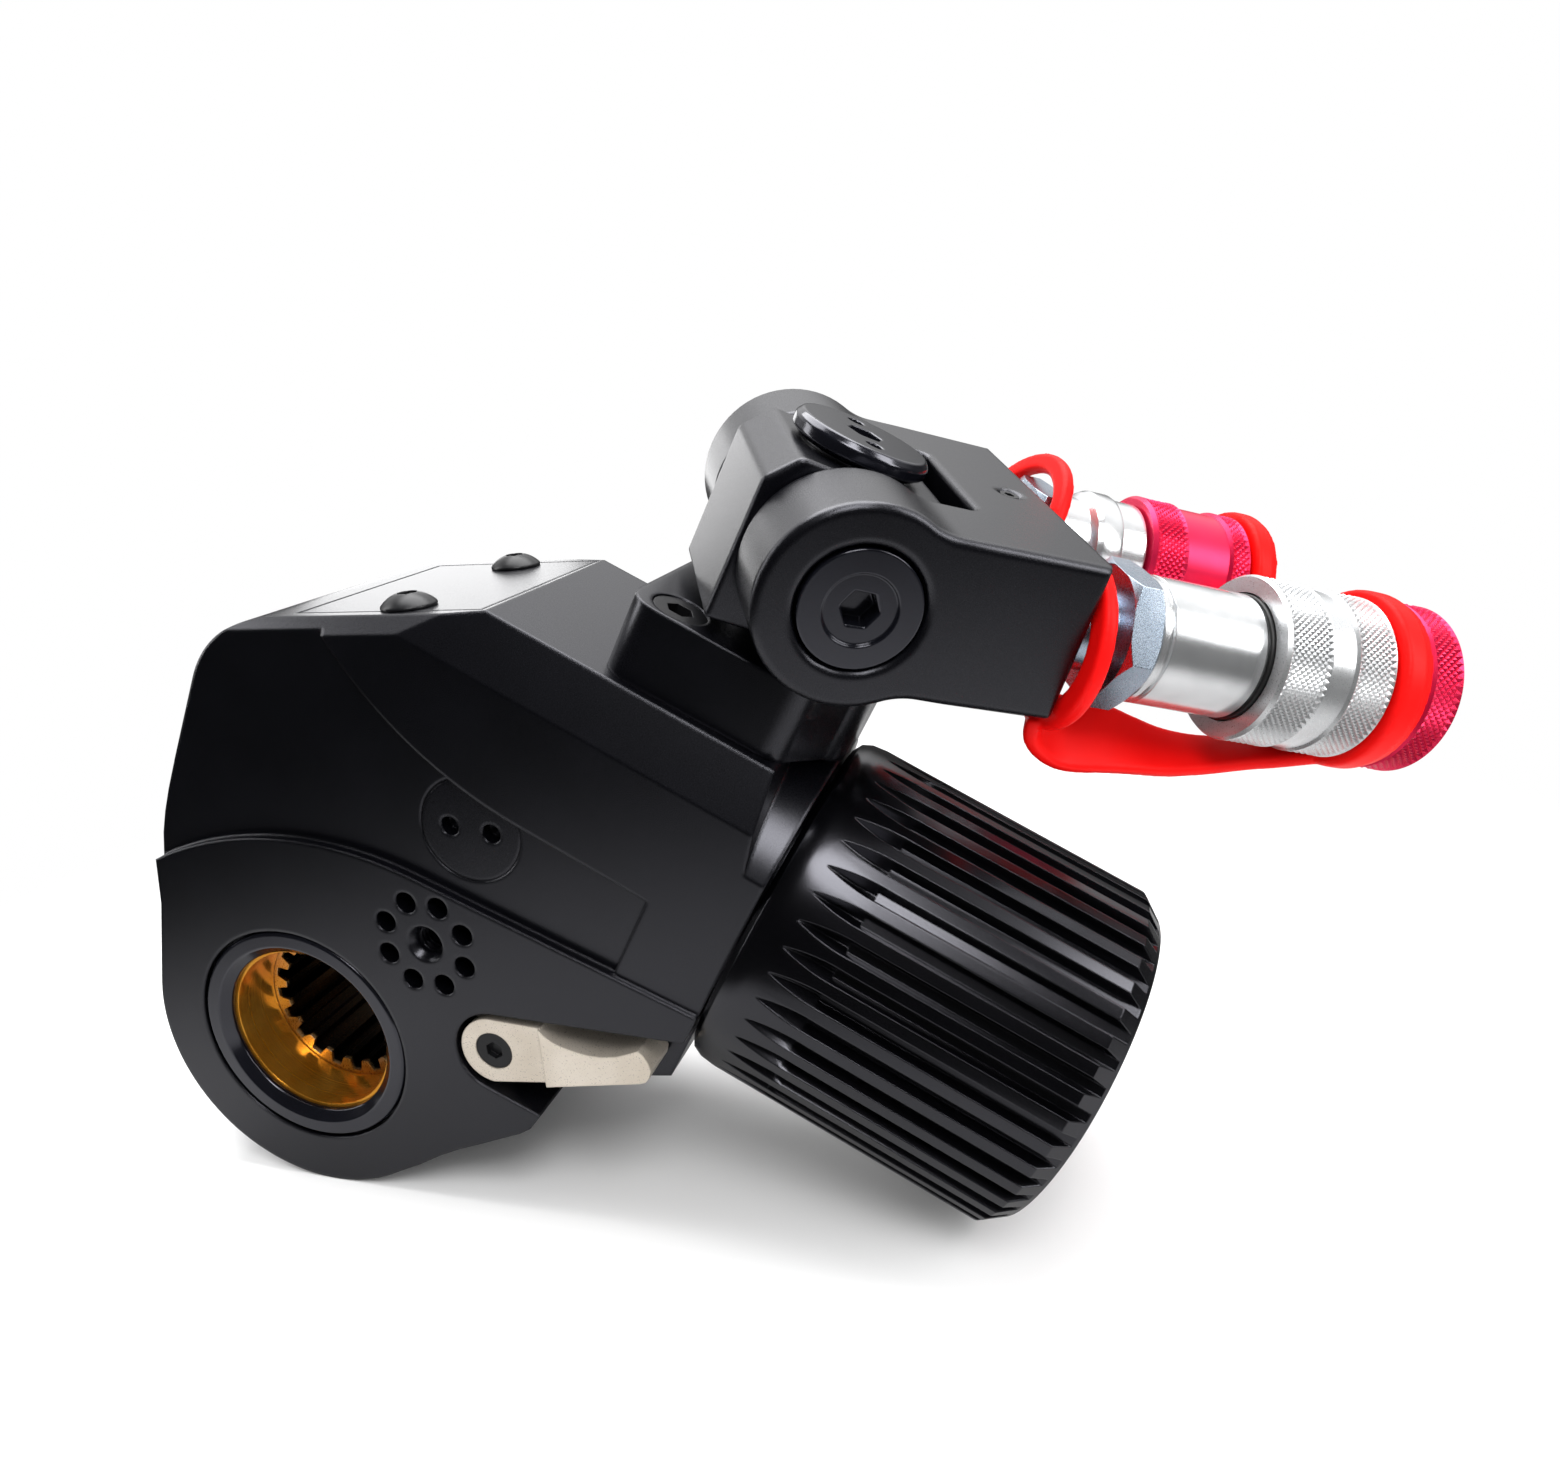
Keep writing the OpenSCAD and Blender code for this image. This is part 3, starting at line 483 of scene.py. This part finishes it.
# Turned outlines as (radius, s), and the numbers of the points at which their knurls start
KNURL_PITCH = 1.05
KNURL_DEPTH = 0.27
RED_KNURL_PITCH = 1.2
RED_KNURL_DEPTH = 0.42
SLEEVE = [(10.4, 65.5), (12.9, 65.5), (13.3, 66.1), (13.3, 73.6), (12.85, 74), (12.85, 78), (13.3, 78.4),
          (13.3, 85.2), (12.8, 85.7), (10.6, 85.7), (10.6, 79), (10.06, 79), (10.06, 70), (10.4, 70)]
SLEEVE_KNURLS = (2, 6)
PLUG = [(0, 81.4), (9.6, 81.4), (10.2, 82), (10.2, 91.7), (13.4, 91.7), (13.9, 92.2), (13.9, 97.4),
        (13.3, 98), (0, 98)]
PLUG_KNURLS = (5,)
CAP = [(8.6, 63.2), (11.6, 63.2), (12.2, 63.9), (12.2, 70.2), (11.6, 70.6), (11.6, 79.2), (12.2, 79.6),
       (12.2, 83.2), (11.6, 83.8), (9.6, 83.8), (9.6, 89.5), (0.01, 89.5), (0.01, 79.6), (8.6, 79.6)]
CAP_KNURLS = (2, 6)
sleeve_mesh = knurled("knurled_sleeve", NEAR, SLEEVE, SLEEVE_KNURLS, KNURL_PITCH, KNURL_DEPTH)
plug_mesh = knurled("knurled_plug", NEAR, PLUG, PLUG_KNURLS, RED_KNURL_PITCH, RED_KNURL_DEPTH)
cap_mesh = knurled("knurled_cap", FAR, CAP, CAP_KNURLS, RED_KNURL_PITCH, RED_KNURL_DEPTH)
knurled_pieces = (
    new_piece("knurled_sleeve", sleeve_mesh, "near_sleeve", "nickel_steel", "near_sleeve",
              look="knurled_nickel"),
    new_piece("knurled_plug", plug_mesh, "near_dust_plug", "red_anodised", "near_dust_plug"),
    new_piece("knurled_cap", cap_mesh, "far_dust_cap", "red_anodised", "far_dust_cap"),
)
for knurled_piece in knurled_pieces:
    shade(knurled_piece)


# Rubber pieces

RUBBER_VOXEL = 0.42 * MM
EVEN_FACTOR = 0.5
EVEN_STEPS = 4
BAND_CORNER = 0.4
TANGENT_STEP = 0.01


def rounded_section(half_w, half_t, corner, steps=4):
    """Outline of a rectangle with round corners, as (width, thickness) points."""
    points = []
    for turn, (x, y) in enumerate(((1, 1), (-1, 1), (-1, -1), (1, -1))):
        for step in range(steps + 1):
            angle = math.radians(90 * turn + 90 * step / steps)
            points.append((x * (half_w - corner) + corner * math.cos(angle),
                           y * (half_t - corner) + corner * math.sin(angle)))
    return points


def band_ring(build, inner, outer, s0, s1, corner, offset=(0, 0), lean=0, steps=72):
    """Flat ring round a coupler between two radii and two places along it.

    offset moves it to the far side and up, and lean tips its top out, in degrees.
    """
    middle = (outer + inner) / 2
    section = rounded_section((outer - inner) / 2, (s1 - s0) / 2, corner)
    tip = Matrix.Rotation(math.radians(lean), 4, "X")
    place = Matrix.Translation((offset[0], offset[1], (s0 + s1) / 2)) @ tip
    sections = []
    for step in range(steps):
        angle = FULL_TURN * step / steps
        away = Vector((math.cos(angle), math.sin(angle), 0))
        sections.append([place @ (away * (middle + w) + Vector((0, 0, t))) for w, t in section])
    loft(build, sections, closed=True)


def curve_point(points, t):
    """Point of a smooth curve through a row of points, at t from 0 to 1."""
    last = len(points) - 1
    span = t * last
    first = min(int(span), last - 1)
    u = span - first
    before, one, two, after = (points[min(max(first + k, 0), last)] for k in (-1, 0, 1, 2))
    return 0.5 * (2 * one + (two - before) * u + (2 * before - 5 * one + 4 * two - after) * u * u
                  + (3 * one - before - 3 * two + after) * u ** 3)


def twisted_band(build, stations, thickness, steps=60):
    """Flat band along stations of (s, h, half width, twist in degrees), where twist 0 faces the near side."""
    path = [Vector((0, h, s)) for s, h, _, _ in stations]
    shape = [Vector((half_w, twist, 0)) for _, _, half_w, twist in stations]
    sections = []
    for step in range(steps + 1):
        t = step / steps
        here = curve_point(path, t)
        ahead = curve_point(path, min(t + TANGENT_STEP, 1))
        behind = curve_point(path, max(t - TANGENT_STEP, 0))
        along = (ahead - behind).normalized()
        half_w, twist, _ = curve_point(shape, t)
        up = along.cross(Vector((1, 0, 0))).normalized()
        side = up.cross(along).normalized()
        angle = math.radians(twist)
        wide = up * math.cos(angle) + side * math.sin(angle)
        thick = along.cross(wide)
        section = rounded_section(half_w, thickness / 2, thickness * BAND_CORNER)
        sections.append([here + wide * w + thick * d for w, d in section])
    loft(build, sections, closed=False)


def fused_mesh(name, mesh):
    """Mesh of parts that run into each other as one smooth skin."""
    draft = bpy.data.objects.new(name + "_draft", mesh)
    bpy.context.scene.collection.objects.link(draft)
    fuse = draft.modifiers.new("fuse", "REMESH")
    fuse.mode = "VOXEL"
    fuse.voxel_size = RUBBER_VOXEL
    even = draft.modifiers.new("even", "SMOOTH")
    even.factor = EVEN_FACTOR
    even.iterations = EVEN_STEPS
    evaluated = draft.evaluated_get(bpy.context.evaluated_depsgraph_get())
    fused = bpy.data.meshes.new_from_object(evaluated)
    bpy.data.objects.remove(draft)
    fused.name = name
    for face in fused.polygons:
        face.use_smooth = True
    return fused


def strap(name, matrix, eye, rings, stations, thickness):
    """Rubber strap in one piece: an eye on the fork's stud, a band, and a ring on the plug or cap."""
    build = bmesh.new()
    band_ring(build, **eye)
    for ring in rings:
        band_ring(build, **ring)
    twisted_band(build, stations, thickness)
    return fused_mesh(name, finished_mesh(build, name, matrix))


def seal_ring(name, matrix, section):
    """Mesh of a slim ring seal round a coupler."""
    build = bmesh.new()
    band_ring(build, **section)
    return finished_mesh(build, name, matrix)


SEAL = dict(inner=9.32, outer=10.15, s0=64.95, s1=65.85, corner=0.3)
seal_piece = new_piece("slim_seal", seal_ring("slim_seal", NEAR, SEAL), "fork", "seal_rubber", "near_oring")
shade(seal_piece)

# Straps, whose bands run through stations of (s, h, half width, twist)
STRAP_T = 2.4
NEAR_EYE = dict(inner=9.4, outer=14.0, s0=35.0, s1=37.5, corner=0.8, offset=(0, -2.6))
NEAR_RINGS = (
    dict(inner=10.35, outer=14.7, s0=86.0, s1=90.2, corner=0.8),
    dict(inner=10.35, outer=14.2, s0=88.0, s1=91.5, corner=0.5),
)
NEAR_BAND = (
    (36.2, -13.6, 6.0, 72), (37.4, -16.4, 6.3, 60), (42.5, -18.1, 6.5, 50), (49.5, -17.9, 6.1, 50),
    (55.5, -18.3, 5.3, 55), (61.5, -18.6, 4.8, 66), (68, -18.0, 4.5, 80), (75, -16.6, 4.4, 90),
    (82, -14.8, 4.4, 90), (88.4, -13.0, 4.4, 90),
)
FAR_EYE = dict(inner=11.7, outer=15.2, s0=38.2, s1=40.7, corner=0.8, offset=(0, 1.6), lean=22)
FAR_RINGS = (
    dict(inner=9.75, outer=13.4, s0=84.0, s1=87.8, corner=0.8),
    dict(inner=9.75, outer=12.9, s0=86.0, s1=88.8, corner=0.5),
)
FAR_BAND = (
    (36.9, -11.0, 5.0, 90), (37.6, -15.0, 5.0, 90), (43, -19.2, 5.0, 90), (53, -21.0, 4.6, 90),
    (62, -20.2, 4.4, 90), (70, -18, 4.4, 90), (78, -15, 4.4, 90), (86, -12, 4.4, 90),
)
near_strap_mesh = strap("rubber_strap_near", NEAR, NEAR_EYE, NEAR_RINGS, NEAR_BAND, STRAP_T)
far_strap_mesh = strap("rubber_strap_far", FAR, FAR_EYE, FAR_RINGS, FAR_BAND, STRAP_T)
near_rubber = new_piece("rubber_strap_near", near_strap_mesh, None, "red_rubber", "near_strap")
far_rubber = new_piece("rubber_strap_far", far_strap_mesh, None, "red_rubber", "far_strap")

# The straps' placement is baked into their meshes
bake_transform(near_rubber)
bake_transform(far_rubber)


# Wound springs

def coil(name, start, end, radius, wire, turns, per_turn=18, sides=8):
    """Mesh of a spring wound between two points. radius is that of its middle line and wire its thickness."""
    along = end - start
    place = Matrix.Translation(start) @ along.to_track_quat("Z", "X").to_matrix().to_4x4()
    rise = (along.length - wire * MM) / (turns * per_turn)
    spokes = [FULL_TURN * side / sides for side in range(sides)]
    up = Vector((0, 0, 1))
    sections = []
    for step in range(turns * per_turn + 1):
        angle = FULL_TURN * step / per_turn
        out = Vector((math.cos(angle), math.sin(angle), 0))
        middle = out * radius * MM + Vector((0, 0, wire / 2 * MM + rise * step))
        rim = [(out * math.cos(spoke) + up * math.sin(spoke)) * wire / 2 * MM for spoke in spokes]
        sections.append([place @ (middle + point) for point in rim])
    build = bmesh.new()
    loft(build, sections, closed=False)
    return finished_mesh(build, name)


def node_box(node):
    """Lowest corner, highest corner and middle of a node at rest."""
    low, high = (Vector(corner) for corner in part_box(node))
    return low, high, (low + high) / 2


PAWL_SPRING_L = 11.7
PAWL_SPRING = dict(radius=1.65, wire=0.6, turns=8)
RETURN_SPRING = dict(radius=6.0, wire=1.1, turns=4)
lift_axis = Vector(joints["drive_pawl_lift"]["axis"]).normalized()
half_length = lift_axis * PAWL_SPRING_L / 2 * MM
for spring_node in ("pawl_spring_near", "pawl_spring_far"):
    _, _, spring_middle = node_box(spring_node)
    spring_name = "coil_" + spring_node
    spring_mesh = coil(spring_name, spring_middle - half_length, spring_middle + half_length, **PAWL_SPRING)
    spring = new_piece(spring_name, spring_mesh, "crank", "spring_steel", spring_node)
    shade(spring)
    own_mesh(spring)

return_low, return_high, return_middle = node_box("pawl_return_spring")
return_start = Vector((return_middle.x, return_low.y, return_middle.z))
return_end = Vector((return_middle.x, return_high.y, return_middle.z))
return_mesh = coil("coil_pawl_return", return_start, return_end, **RETURN_SPRING)
return_spring = new_piece("coil_pawl_return", return_mesh, "housing", "spring_steel", "pawl_return_spring")
shade(return_spring)


# Thread of the handle's hole

THREAD_PITCH = 1.0
THREAD_TURNS = 8
THREAD_HEIGHT = 0.3
THREAD_FLANK_SHARE = 0.42
THREAD_FLANK = THREAD_FLANK_SHARE * THREAD_PITCH


def thread(name, matrix, radius, per_turn=40):
    """Ridge of a screw thread that stands in from the wall of a hole, as a closed strip along a helix."""
    profile = ((radius, -THREAD_FLANK), (radius - THREAD_HEIGHT, 0), (radius, THREAD_FLANK))
    up = Vector((0, 0, 1))
    sections = []
    for step in range(THREAD_TURNS * per_turn + 1):
        angle = FULL_TURN * step / per_turn
        rise = THREAD_PITCH * step / per_turn
        out = Vector((math.cos(angle), math.sin(angle), 0))
        sections.append([matrix @ ((out * r + up * (rise + z)) * MM) for r, z in profile])
    build = bmesh.new()
    loft(build, sections, closed=False)
    return finished_mesh(build, name)


handle = mounts["handle_thread"]
hole_axis = Vector(handle["axis"]).normalized()
hole_place = Vector(handle["pos_m"]) - hole_axis * handle["dims"]["length_mm"] / 2 * MM
hole_matrix = Matrix.Translation(hole_place) @ hole_axis.to_track_quat("Z", "X").to_matrix().to_4x4()
thread_mesh = thread("handle_thread_ridge", hole_matrix, handle["dims"]["r_mm"])
new_piece("handle_thread_ridge", thread_mesh, "housing", "black_anodised")


# Floor

FLOOR_GAP = 0.2
FLOOR_SIZE = 1200
FLOOR_PLACE = (70, 20)
FLOOR_FADE_FROM = 130
FLOOR_FADE_TO = 270
FLOOR_SHADE = 0.92
MIRRORED_SHADE = 0.42
FLOOR_ROUGHNESS = 0.7
FLOOR_SPECULAR = 0.1


def floor_surface():
    """Pale floor that fades out towards its edge, and looks darker where the tool mirrors it."""
    material, tree, shader = new_material("pale_floor")
    place = add(tree, "ShaderNodeTexCoord").outputs["Object"]
    away = add(tree, "ShaderNodeVectorMath", operation="LENGTH")
    tree.links.new(place, away.inputs[0])
    fade = add(tree, "ShaderNodeMapRange", interpolation_type="SMOOTHSTEP", from_min=FLOOR_FADE_FROM * MM,
               from_max=FLOOR_FADE_TO * MM, to_min=1.0, to_max=0.0)
    tree.links.new(away.outputs["Value"], fade.inputs["Value"])
    tree.links.new(fade.outputs["Result"], shader.inputs["Alpha"])
    mirrored = add(tree, "ShaderNodeLightPath").outputs["Is Glossy Ray"]
    shade_of_floor = ramp(tree, mirrored, FLOOR_SHADE, MIRRORED_SHADE, low_at=0.0, high_at=1.0)
    tree.links.new(shade_of_floor, shader.inputs["Base Color"])
    shader.inputs["Roughness"].default_value = FLOOR_ROUGHNESS
    shader.inputs["Specular IOR Level"].default_value = FLOOR_SPECULAR
    return material


floor_z = cad_box[0][2] - FLOOR_GAP * MM
bpy.ops.mesh.primitive_plane_add(size=FLOOR_SIZE * MM,
                                 location=(FLOOR_PLACE[0] * MM, FLOOR_PLACE[1] * MM, floor_z))
floor = bpy.context.object
floor.name = "floor"
floor.data.materials.append(floor_surface())


# Light

LIGHT_TARGET = Vector((60, 0, 40)) * MM
SOFTBOXES = {
    "overhead": dict(place=(60, 160, 620), size=(600, 500), power=5.5),
    "brow_light": dict(place=(-345, 550, 165), size=(200, 240), power=0.45),
    "left_strip": dict(place=(-520, -60, 300), size=(160, 500), power=1.2),
    "front_fill": dict(place=(330, -360, 560), size=(260, 260), power=2.2),
    "right_strip": dict(place=(620, -60, 300), size=(160, 400), power=1.5),
}
EVEN_LIGHT = 0.75
CAMERA_WHITE = 1.0
SKY_RISE = dict(start=0.10, end=0.50, low=0.04, high=1.3)
SKY_BACK = dict(start=-0.3, end=0.5, low=0.0, high=1.0)
TABLE_RISE = dict(start=-0.62, end=-0.95, low=0.02, high=1.0)
WHITE = (1, 1, 1, 1)


def softbox(name, place, size, power):
    """Rectangular soft light of a size at a place, both in millimetres, aimed at the tool."""
    lamp = bpy.data.lights.new(name, "AREA")
    lamp.shape = "RECTANGLE"
    lamp.size = size[0] * MM
    lamp.size_y = size[1] * MM
    lamp.energy = power
    holder = bpy.data.objects.new(name, lamp)
    holder.location = Vector(place) * MM
    holder.rotation_euler = (LIGHT_TARGET - holder.location).to_track_quat("-Z", "Y").to_euler()
    holder.visible_camera = False
    bpy.context.scene.collection.objects.link(holder)


def studio_world():
    """White to the camera and an even light all round. Gloss mirrors it from above, behind and below only."""
    world = bpy.data.worlds.new("studio")
    bpy.context.scene.world = world
    world.use_nodes = True
    tree = world.node_tree
    mirrored = tree.nodes["Background"]
    parts = add(tree, "ShaderNodeSeparateXYZ")
    tree.links.new(add(tree, "ShaderNodeTexCoord").outputs["Generated"], parts.inputs["Vector"])

    def rise(axis, start, end, low, high):
        """Strength that goes smoothly from low to high between two places along an axis of the sky."""
        node = add(tree, "ShaderNodeMapRange", interpolation_type="SMOOTHSTEP", from_min=start, from_max=end,
                   to_min=low, to_max=high)
        tree.links.new(parts.outputs[axis], node.inputs["Value"])
        return node.outputs["Result"]

    def combine(operation, one, two):
        """Sum or product of two strengths."""
        node = add(tree, "ShaderNodeMath", operation=operation)
        tree.links.new(one, node.inputs[0])
        tree.links.new(two, node.inputs[1])
        return node.outputs["Value"]

    back_sky = combine("MULTIPLY", rise("Z", **SKY_RISE), rise("Y", **SKY_BACK))
    table = rise("Z", **TABLE_RISE)
    mirrored.inputs["Color"].default_value = WHITE
    tree.links.new(combine("ADD", back_sky, table), mirrored.inputs["Strength"])
    light_path = add(tree, "ShaderNodeLightPath")
    view = mirrored.outputs["Background"]
    for ray_kind, strength in (("Is Diffuse Ray", EVEN_LIGHT), ("Is Camera Ray", CAMERA_WHITE)):
        white = add(tree, "ShaderNodeBackground", strength=strength)
        white.inputs["Color"].default_value = WHITE
        either = add(tree, "ShaderNodeMixShader")
        tree.links.new(light_path.outputs[ray_kind], either.inputs["Fac"])
        tree.links.new(view, either.inputs[1])
        tree.links.new(white.outputs["Background"], either.inputs[2])
        view = either.outputs["Shader"]
    tree.links.new(view, tree.nodes["World Output"].inputs["Surface"])


for light_name, light_values in SOFTBOXES.items():
    softbox(light_name, **light_values)
studio_world()


# Camera

EYE = Vector((146.43, -174.74, 112.70)) * MM
AZIMUTH = math.radians(-18.28)
ELEVATION = math.radians(-17.98)
ROLL = math.radians(4.44)
FOCAL_PX = 1138.4
IMAGE_W_PX = 1560
SENSOR_W = 36.0
CLIP_START = 10 * MM
lens = bpy.data.cameras.new("camera")
lens.sensor_width = SENSOR_W
lens.sensor_fit = "HORIZONTAL"
lens.lens = FOCAL_PX / IMAGE_W_PX * SENSOR_W
lens.clip_start = CLIP_START
camera = bpy.data.objects.new("camera", lens)
look = Matrix.Rotation(-AZIMUTH, 4, "Z") @ Matrix.Rotation(math.pi / 2 + ELEVATION, 4, "X")
camera.matrix_world = Matrix.Translation(EYE) @ look @ Matrix.Rotation(-ROLL, 4, "Z")
bpy.context.scene.collection.objects.link(camera)
bpy.context.scene.camera = camera
bpy.context.scene.view_settings.view_transform = "Standard"

bpy.context.view_layer.update()
